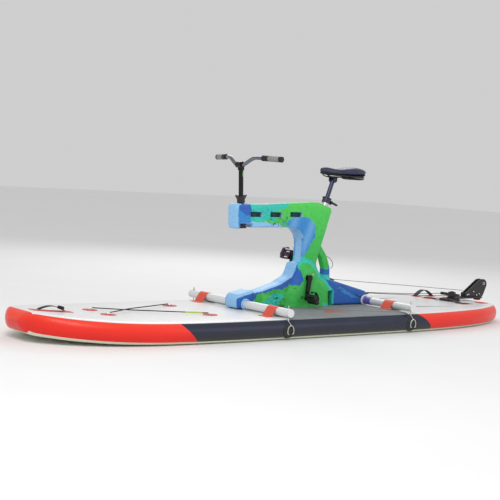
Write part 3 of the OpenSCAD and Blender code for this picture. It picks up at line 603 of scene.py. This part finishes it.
def frame_shells():
    verts, faces = [], []

    def add(outline, hw):
        v, f = slab(outline, hw)
        base = len(verts)
        verts.extend(v)
        faces.extend(tuple(base + k for k in q) for q in f)

    spine, bulge, foot, arch = rounded(SPINE), rounded(BULGE), rounded(FOOT), rounded(ARCH)
    for d, drop in ((0, 16), (2, 9), (5, 4), (11, 0.8), (15, 0)):
        add(inset(spine, d) if d else spine, 50 - drop)
        add(inset(foot, d) if d else foot, 66 - drop)
    hub = np.array((-20.0, 120.0))
    layers = 12
    for k in range(layers + 1):
        f = 1 - 0.44 * k / layers
        add([hub + (q - hub) * f for q in bulge], 49 + 33 * math.sin(math.pi / 2 * k / layers))
    add(arch, 15)
    add(inset(arch, 3), 21)
    add(inset(arch, 8), 24)
    obj = add_mesh("shell_body", verts, faces, False)
    r = obj.modifiers.new("join", "REMESH")
    r.mode = "VOXEL"
    r.voxel_size = 0.0034
    s = obj.modifiers.new("smooth", "SMOOTH")
    s.factor = 0.5
    s.iterations = 9
    apply_modifiers(obj)

    cut_v, cut_f = [], []

    def box(lo, hi):
        k = len(cut_v)
        cut_v.extend((x, y, z) for x in (lo[0], hi[0]) for y in (lo[1], hi[1]) for z in (lo[2], hi[2]))
        quads = ((0, 1, 3, 2), (4, 6, 7, 5), (0, 4, 5, 1), (2, 3, 7, 6), (0, 2, 6, 4), (1, 5, 7, 3))
        cut_f.extend(tuple(k + i for i in f) for f in quads)

    for x0, x1, z0 in ((0.364, 0.454, 0.546), (0.210, 0.303, 0.548), (0.051, 0.147, 0.552)):
        for side in (-1, 1):
            ys = sorted((side * 0.024, side * 0.060))
            box(at(x0, ys[0], z0), at(x1, ys[1], z0 + 0.030))
    box(at(WELL_X[0], -0.076, -0.01), at(WELL_X[1], 0.076, 0.1))
    cutter = add_mesh("shell_cutter", cut_v, cut_f, False)
    b = obj.modifiers.new("pockets", "BOOLEAN")
    b.object = cutter
    b.solver = "EXACT"
    apply_modifiers(obj)
    bpy.data.objects.remove(cutter)
    obj.data.polygons.foreach_set("use_smooth", [True] * len(obj.data.polygons))
    for name, keep, node in (("port_shell", 1, "frame_port_shell"),
        ("starboard_shell", -1, "frame_starboard_shell")):
        me = obj.data.copy()
        bm = bmesh.new()
        bm.from_mesh(me)
        geom = bm.verts[:] + bm.edges[:] + bm.faces[:]
        bmesh.ops.bisect_plane(
            bm, geom=geom, plane_co=(0, 0, 0), plane_no=(0, keep, 0), clear_inner=True, clear_outer=False
        )
        geom = bm.verts[:] + bm.edges[:] + bm.faces[:]
        bmesh.ops.bisect_plane(
            bm, geom=geom, plane_co=(0, 0, DECK + 0.006), plane_no=(0, 0, 1), clear_inner=True,
            clear_outer=False
        )
        bm.to_mesh(me)
        bm.free()
        half = bpy.data.objects.new(name, me)
        bpy.context.scene.collection.objects.link(half)
        colour_shell(half)
        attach(half, "boat")
        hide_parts(node)
    bpy.data.objects.remove(obj)


SKY = (0.26, 0.54, 0.86)
MID = (0.012, 0.235, 0.62)
DEEP = (0.0, 0.10, 0.46)
# Near-black blue-green for the pocket insides: painted shade in the recesses.
POCKET_SHADE = (0.0, 0.055, 0.075)
GREEN = (0.022, 0.48, 0.055)
LIME = (0.06, 0.62, 0.07)
TURQ = (0.004, 0.56, 0.46)


def inside(px, pz, poly):
    """True where points lie inside the polygon, given in mm."""
    hit = np.zeros(len(px), bool)
    n = len(poly)
    for i in range(n):
        (x1, z1), (x2, z2) = poly[i], poly[(i + 1) % n]
        if z1 == z2:
            continue
        cross = ((z1 > pz) != (z2 > pz)) & (px < (x2 - x1) * (pz - z1) / (z2 - z1) + x1)
        hit ^= cross
    return hit


# Painted zones of the shells, in order, as outlines in mm from the crank axle and the deck
ZONES = [
    (MID, [(600, 700), (456, 700), (456, 616), (450, 552), (446, 478), (600, 440)]),
    (DEEP, [(540, 632), (458, 640), (456, 616), (451, 566), (490, 556), (542, 586)]),
    (TURQ, [(456, 640), (456, 616), (452, 558), (446, 520), (380, 522), (287, 530), (251, 524), (262, 548),
            (300, 560), (270, 590), (160, 612), (155, 636), (309, 650)]),
    (SKY, [(452, 517), (318, 516), (197, 499), (170, 440), (460, 440)]),
    (MID, [(199, 518), (156, 534), (114, 550), (70, 560), (26, 555), (-10, 545), (-40, 527), (-60, 503),
            (-67, 476),
           (-67, 448), (-61, 421), (-46, 394), (-26, 367), (-2, 326), (22, 293), (72, 290), (69, 326),
           (68, 380),
           (77, 420), (98, 460), (144, 493)]),
    (DEEP, [(74, 222), (152, 172), (292, 132), (392, 110), (480, 80), (484, 61), (386, 89), (369, 85),
            (294, 100),
            (210, 112), (124, 138), (71, 140), (47, 166), (44, 219), (52, 262), (80, 270)]),
    (DEEP, [(486, 100), (484, 61), (386, 89), (362, 100), (372, 60), (407, 36), (440, 0), (600, 0),
            (600, 120)]),
    (TURQ, [(300, 60), (250, 88), (190, 92), (150, 70), (200, 40), (180, 16), (260, 8), (330, 8), (330, 50)]),
    (LIME, [(330, 84), (280, 92), (262, 70), (300, 40), (340, 50)]),
    (TURQ, [(60, 262), (54, 300), (10, 306), (-44, 292), (-96, 240), (-126, 190), (-168, 176), (-206, 136),
            (-246, 100),
            (-262, 3), (-244, 3), (-226, 92), (-188, 124), (-158, 158), (-108, 180), (-78, 228), (-32, 268),
            (12, 278), (44, 252), (46, 222)]),
    (DEEP, [(-118, 196), (-168, 176), (-206, 136), (-246, 100), (-262, 3), (-640, 3), (-640, 200),
            (-240, 240),
            (-140, 222)]),
    (MID, [(-325, 118), (-366, 89), (-406, 74), (-476, 44), (-400, 56), (-330, 84), (-280, 112)]),
    (TURQ, [(-186, 200), (-120, 230), (-118, 196), (-170, 172), (-240, 160), (-244, 190)]),
    (TURQ, [(-140, 26), (-238, 26), (-238, 0), (-140, 0)]),
    (MID, [(-210, 290), (-250, 300), (-250, 150), (-222, 190)]),
]


def colour_shell(obj):
    me = obj.data
    n = len(me.vertices)
    co = np.empty(n * 3)
    me.vertices.foreach_get("co", co)
    co = co.reshape(n, 3)
    no = np.empty(n * 3)
    me.vertices.foreach_get("normal", no)
    no = no.reshape(n, 3)
    x, y, z = (co[:, 0] - CRANK_X) * 1000, co[:, 1] * 1000, (co[:, 2] - DECK) * 1000
    wob = 5 * np.sin(x / 17 + z / 31) + 3 * np.sin(x / 7.3 - z / 11) + 3 * np.sin(z / 9 + x / 23)
    px, pz = x + wob, z + 0.8 * wob
    col = np.tile(np.array(GREEN), (n, 1))
    fade = np.clip((z - 330) / 300, 0, 1)[:, None]
    col = col * (1 - fade) + np.array(LIME) * fade
    for color, poly in ZONES:
        col[inside(px, pz, poly)] = color
    wave = inside(px, pz, ZONES[4][1])
    # Lighter sky-blue bands over the mid-blue wave: painted highlight.
    painted_highlight = np.clip(0.5 + 0.5 * np.sin((x * 0.8 + z * 0.35) / 19), 0, 1)[:, None] ** 2 * 0.45
    col[wave] = (col * (1 - painted_highlight) + np.array(SKY) * painted_highlight)[wave]
    # Faces turned forward (front), upward slope tops (slope_top) and the head's front end are painted sky
    # blue: painted light on the faces turned to the lamp. Downward faces of the upper frame (lower) get the
    # same sky blue.
    front = (no[:, 0] > 0.5) & (x > 30) & (np.abs(y) < 52)
    slope_top = (no[:, 2] > 0.35) & (z < 330) & (x > 60) & (np.abs(y) < 68) & (z > 40)
    lower = (no[:, 2] < -0.45) & (z > 300) & (x > 0)
    head = (x > 516) & (np.abs(y) < 46)
    col[front | slope_top | lower] = SKY
    col[head & (z > 300)] = SKY
    # The column's front strip is painted sky blue: painted light on its leading edge.
    column = (np.abs(y) < 26) & (x > -20) & (x < 120) & (z > 270) & (z < 520)
    col[column] = SKY
    # The pocket walls and floors are painted near black: painted shade in the recesses.
    pocket_shade = (np.abs(y) > 20) & (np.abs(y) < 40) & (z > 540) & (z < 586) & (x > 48) & (x < 457)
    col[pocket_shade] = POCKET_SHADE
    rose = (
        (no[:, 2] > 0.5) & (z > 600) & (x > 200) & (x < 372)
        & (np.sin(x / 9 + y / 5) > 0.25) & (np.abs(y) < 40)
    )
    col[rose] = (0.75, 0.16, 0.30)
    dot = np.hypot(x + 40, z - 205) < 6
    col[dot & (np.abs(y) > 60)] = (0.75, 0.35, 0.25)
    rgba = np.ones((n, 4))
    rgba[:, :3] = col
    me.color_attributes.new("art", "FLOAT_COLOR", "POINT").data.foreach_set("color",
        rgba.ravel().astype(np.float32))
    marks = np.zeros(n)
    for cx, cz, rx, rz in (
        (330, 575, 90, 48), (250, 520, 90, 40), (200, 545, 50, 40), (250, 76, 120, 34), (200, 40, 90, 30),
        (120, 130, 70, 60), (330, 50, 50, 30), (-150, 176, 60, 24), (-330, 120, 110, 34), (-470, 60, 60, 36),
        (10, 60, 60, 30), (430, 560, 40, 40),
    ):
        d = np.sqrt(((x - cx) / rx) ** 2 + ((z - cz) / rz) ** 2)
        marks = np.maximum(marks, np.clip(1.5 - d * 1.3, 0, 1))
    me.attributes.new("marks", "FLOAT", "POINT").data.foreach_set("value", marks.astype(np.float32))

    s = Shader("painted_shell_" + obj.name)
    art = s.attribute("art").outputs["Color"]
    base = s.mix(s.math("MULTIPLY", s.noise(22, 6), 0.14), art, s.mix(0.5, art, (0.9, 0.95, 1.0)))
    base = s.mix(s.math("MULTIPLY", s.step(s.noise(55, 7), 0.5, 0.75), 0.35), base,
        s.mix(0.6, art, (0.0, 0.02, 0.06)))
    warp = s.noise(16, 5)
    crack = s.node("TexVoronoi", Scale=26.0, Vector=s.node("Mapping", Vector=s.coords,
        Scale=(1, 0.2, 1.7)).outputs[0])
    crack.feature = "DISTANCE_TO_EDGE"
    line = s.step(s.math("MULTIPLY_ADD", warp, 0.16, s.math("SUBTRACT", crack.outputs[0], 0.06)), 0.052,
        0.030)
    blot = s.step(s.noise(30, 6, (1, 0.2, 1.6)), 0.60, 0.66)
    ink = s.math("MULTIPLY", s.math("MAXIMUM", line, s.math("MULTIPLY", blot, 0.8)),
        s.attribute("marks").outputs["Fac"])
    base = s.mix(s.step(ink, 0.25, 0.75), base, (0.03, 0.05, 0.035))
    s.bump(s.noise(600, 3), 0.12, 0.0003)
    s.bump(s.noise(12, 3), 0.2, 0.003)
    rough = s.node("MapRange", Value=s.noise(35, 4), To_Min=0.30, To_Max=0.50).outputs[0]
    s.set(Base_Color=base, Roughness=rough, Coat_Weight=0.04, Specular_IOR_Level=0.25)
    paint(obj, s.mat)


frame_shells()


# ---- lines from the frame to the rudder ----
LINE = [
    (0.478, 0.0304, 0.4885), (0.445, 0.0304, 0.4894), (0.412, 0.0304, 0.4906), (0.380, 0.0303, 0.494),
    (0.220, 0.030, 0.540), (0.060, 0.028, 0.540), (-0.040, 0.028, 0.480), (-0.070, 0.030, 0.380),
    (-0.066, 0.034, 0.290), (-0.080, 0.036, 0.200), (-0.160, 0.034, 0.120), (-0.300, 0.026, 0.090),
    (-0.440, 0.020, 0.077), (-0.530, 0.020, 0.072), (-0.600, 0.020, 0.072), (-0.720, 0.027, 0.066),
    (-0.900, 0.038, 0.058), (-1.080, 0.050, 0.050), (-1.250, 0.061, 0.046), (-1.385, 0.071, 0.045),
]
LIFT = [
    (-0.286, 0, 0.164), (-0.520, 0, 0.146), (-0.780, 0, 0.127), (-1.040, 0, 0.108), (-1.300, 0, 0.088),
    (-1.528, 0, 0.071),
]


def join(objs):
    """One mesh made of several, kept under the first one's name."""
    bm = bmesh.new()
    for o in objs:
        bm.from_mesh(o.data)
    bm.to_mesh(objs[0].data)
    bm.free()
    for o in objs[1:]:
        bpy.data.objects.remove(o)
    return objs[0]


def lines():
    both = join([tube("steering_cord", [at(x, s * y, z) for x, y, z in LINE], 0.002, 8, 4) for s in (1, -1)])
    paint(both, M["rope"])
    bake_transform(both)
    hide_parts("steering_lines")
    lift = paint(tube("lift_cord", [at(*q) for q in LIFT], 0.0016, 8, 6), M["rope_grey"])
    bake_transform(lift)
    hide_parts("lift_line")


lines()
paint(pull, M["rope_grey"])

# ---- saddle ----
SADDLE_AT = Vector((-0.176, 0, 0.638)) + 0.160 * Vector(
    (-math.sin(math.radians(19.5)), 0, math.cos(math.radians(19.5)))
)
SADDLE = [
    (-214, 40, 48, 60), (-206, 74, 39, 71), (-190, 92, 33, 79), (-160, 104, 28, 85), (-125, 102, 26, 85),
    (-90, 86, 25, 80), (-60, 66, 26, 74), (-30, 50, 27, 70), (0, 41, 28, 70), (35, 35, 29, 74),
    (65, 30, 32, 77),
    (85, 25, 35, 76), (96, 18, 38, 71), (101, 9, 44, 64),
]


def saddle():
    def ring(row, low_add, high_add, wide, power):
        x, w, low, high = row
        lo, hi = low + low_add, high + high_add
        out = []
        for k in range(32):
            a = 2 * math.pi * k / 32
            c, n = math.cos(a), math.sin(a)
            y = w * wide * math.copysign(abs(c) ** power, c)
            mid = lo + 0.42 * (hi - lo)
            z = mid + (hi - mid) * abs(n) ** 0.9 if n > 0 else mid - (mid - lo) * abs(n) ** 0.6
            out.append((x, y, z))
        return out

    def build(name, rows, low_add, high_add, wide, power, material):
        fine = spline([Vector((r[0], r[1], r[2])) for r in rows], 3)
        tops = spline([Vector((r[3], 0, 0)) for r in rows], 3)
        full = [(q.x, max(q.y, 1), q.z, t.x) for q, t in zip(fine, tops)]
        rings = [
            [
                at(*(SADDLE_AT + Vector((x, y, z)) / 1000))
                for x, y, z in ring(r, low_add, high_add, wide, power)
            ]
            for r in full
        ]
        obj = paint(loft(name, rings), material)
        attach(obj, "saddle")
        return obj

    s = Shader("navy_saddle_cover")
    pores = s.node("TexVoronoi", Vector=s.coords, Scale=900.0).outputs["Distance"]
    base = s.mix(s.noise(14, 4), (0.012, 0.014, 0.040), (0.030, 0.034, 0.085))
    s.bump(pores, 0.15, 0.0004)
    s.bump(s.noise(30, 3), 0.05, 0.002)
    rough = s.node("MapRange", Value=s.noise(25, 4), To_Min=0.32, To_Max=0.46).outputs[0]
    s.set(Base_Color=base, Roughness=rough, Coat_Weight=0.12)
    top = build("saddle_top", SADDLE, 8, 0, 1.0, 0.75, s.mat)
    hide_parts("saddle")
    skirt = [(x, w, lo, lo + 12) for x, w, lo, hi in SADDLE[1:-1]]
    build("saddle_skirt", skirt, 0, 0, 0.97, 0.6, M["rubber"])
    bumper = [(-207, 60, 22, 34), (-196, 78, 14, 31), (-175, 84, 11, 30), (-150, 80, 13, 29),
        (-128, 62, 18, 28)]
    grey = plain("grey_bumper", (0.17, 0.18, 0.18), 0.5, spread=0.15)
    build("saddle_bumper", bumper, 0, 4, 1.0, 0.6, grey)
    under = [(x + 2, w * 0.96, lo - 4, lo + 6) for x, w, lo, hi in bumper]
    build("saddle_under", under, 0, 0, 1.0, 0.6, M["rubber"])


saddle()


# ---- small details ----
def torus(name, centre, axis, major, minor, material, body):
    rings = []
    a = Vector(axis).normalized()
    u = a.orthogonal().normalized()
    v = a.cross(u)
    for i in range(40):
        t = 2 * math.pi * i / 40
        out = u * math.cos(t) + v * math.sin(t)
        rings.append(
            [
                Vector(centre) + out * (major + minor * math.cos(p)) + a * minor * math.sin(p)
                for p in (2 * math.pi * k / 12 for k in range(12))
            ]
        )
    rings.append(rings[0])
    obj = paint(loft(name, rings, caps=False), material)
    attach(obj, body)
    return obj


def details():
    sky = plain("sky_shell_lip", SKY, 0.4, spread=0.1)
    deep = plain("blue_shell_lip", MID, 0.4, spread=0.1)
    for s, side_name in ((1, "port"), (-1, "starboard")):
        torus("front_lip_" + side_name, at(0.465, s * 0.066, 0.033), (0, 1, 0), 0.0285, 0.005, sky, "boat")
        torus("rear_lip_" + side_name, at(-0.525, s * 0.051, 0.033), (0, 1, 0), 0.0290, 0.0055, M["white"],
            "boat")
        torus("rear_band_" + side_name, at(-0.525, s * 0.0465, 0.033), (0, 1, 0), 0.0300, 0.0050, deep,
            "boat")
    s = Shader("grip_rubber")
    _, y, _ = s.xyz()
    far = s.math("ABSOLUTE", y)
    ribs = s.step(s.wave(95, "Y"), 0.25, 0.55)
    black = s.math("MAXIMUM", s.math("LESS_THAN", far, GRIP[0] + 0.014),
        s.math("GREATER_THAN", far, GRIP[1] - 0.020))
    base = s.mix(black, s.mix(s.noise(40, 4), (0.20, 0.21, 0.21), (0.30, 0.31, 0.31)), (0.012, 0.012, 0.014))
    s.bump(ribs, 0.35, 0.0012)
    s.set(Base_Color=base, Roughness=0.6)
    paint(NODES["grips"], s.mat)
    post = Vector((0.491, 0, 0.622)) + 0.170 * Vector((math.sin(math.radians(4)), 0,
        math.cos(math.radians(4))))
    lime = plain("green_mark", (0.10, 0.60, 0.06), 0.5, spread=0.15)
    ring = []
    for z in (-0.014, 0.014):
        for k in range(7):
            a = math.radians(95 + 8 * k)
            ring.append(at(*(post + Vector((0.0143 * math.cos(a) + z * 0.07, 0.0143 * math.sin(a), z)))))
    mark = add_mesh("post_mark", ring, [(k, k + 1, k + 8, k + 7) for k in range(6)])
    paint(mark, lime)
    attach(mark, "handlebar")
    sleeve = tube("bungee_sleeve", [(0.735, 0.184, 0.1313), (0.778, 0.162, 0.1316), (0.820, 0.140, 0.1318)],
        0.0046)
    paint(sleeve, plain("yellow_green_sleeve", (0.42, 0.60, 0.06), 0.5, spread=0.2))
    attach(sleeve, "boat")


def cheeks():
    outline = [
        np.array(q)
        for q in rounded([
            (-116, 27.5, 4), (-116, 50, 10), (-148, 68, 40), (-268, 148, 60), (-318, 150, 40),
            (-346, 116, 36),
            (-304, 27.5, 16),
        ], 8)
    ]
    bm = bmesh.new()
    for s in (1, -1):
        for y0, y1, d in ((0.0132, 0.0208, 0.0), (0.0200, 0.0222, 5.0)):
            if d:
                c = sum(outline) / len(outline)
                shape = [c + (q - c) * 0.86 for q in outline]
            else:
                shape = outline
            base = [
                [bm.verts.new(at(RUDDER_X + q[0] / 1000, s * y, q[1] / 1000)) for q in shape]
                for y in (y0, y1)
            ]
            n = len(shape)
            bm.faces.new(base[0])
            bm.faces.new(list(reversed(base[1])))
            for k in range(n):
                bm.faces.new((base[0][k], base[1][k], base[1][(k + 1) % n], base[0][(k + 1) % n]))
    bmesh.ops.recalc_face_normals(bm, faces=bm.faces)
    me = bpy.data.meshes.new("cheek_plates")
    bm.to_mesh(me)
    bm.free()
    obj = bpy.data.objects.new("cheek_plates", me)
    bpy.context.scene.collection.objects.link(obj)
    soften(obj, 0.0016, 3)
    paint(obj, M["black"])
    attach(obj, "rudder")
    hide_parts("rudder_cheeks")
    for s, side_name in ((1, "port"), (-1, "starboard")):
        torus("pivot_eye_" + side_name, at(RUDDER_X - 0.306, s * 0.0222, 0.118), (0, 1, 0), 0.0085, 0.0022,
            M["steel"], "rudder")
        for i, (x, z) in enumerate(((-0.150, 0.044), (-0.262, 0.046), (-0.200, 0.062))):
            head = tube(
                "cheek_bolt_%s_%d" % (side_name, i),
                [at(RUDDER_X + x, s * 0.0215, z), at(RUDDER_X + x, s * 0.0262, z)], 0.0062, 6, 1,
            )
            paint(head, M["steel"])
            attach(head, "rudder")
    bump = tube("rudder_bumper", [at(-1.690, 0, 0.0015), at(-1.690, 0, 0.0145)], 0.0246, 24, 1)
    paint(bump, plain("dark_red_bumper", (0.16, 0.012, 0.016), 0.5, spread=0.2))
    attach(bump, "rudder")


cheeks()
GRIP = [min(abs(c[1]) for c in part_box("grips")), max(abs(c[1]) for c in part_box("grips"))]
GRIP[0] = GRIP[1] - 0.105
details()


# ---- floor and light ----
def area_light(name, place, aim, size, power):
    li = bpy.data.lights.new(name, "AREA")
    li.shape = "DISK"
    li.size = size
    li.energy = power
    obj = bpy.data.objects.new(name, li)
    bpy.context.scene.collection.objects.link(obj)
    obj.location = place
    obj.rotation_euler = (Vector(aim) - Vector(place)).to_track_quat("-Z", "Y").to_euler()


def studio():
    world = bpy.data.worlds.new("studio")
    world.use_nodes = True
    bg = world.node_tree.nodes["Background"]
    bg.inputs[0].default_value = (1, 1, 1, 1)
    bg.inputs[1].default_value = 0.62
    bpy.context.scene.world = world
    floor = add_mesh("floor", [(-30, -30, -0.001), (30, -30, -0.001), (30, 30, -0.001), (-30, 30, -0.001)],
        [(0, 1, 2, 3)])
    s = Shader("pale_floor")
    s.set(Base_Color=s.mix(s.noise(2, 3), (0.88, 0.88, 0.88), (0.92, 0.92, 0.92)), Roughness=0.9)
    paint(floor, s.mat)
    area_light("key", (3.5, 3.0, 4.5), (0, 0, 0.2), 2.6, 130)
    area_light("fill", (-3.0, 5.0, 2.5), (0, 0, 0.2), 3.5, 40)
    area_light("back", (-2.5, -4.0, 3.5), (0, 0, 0.4), 3.0, 60)


studio()
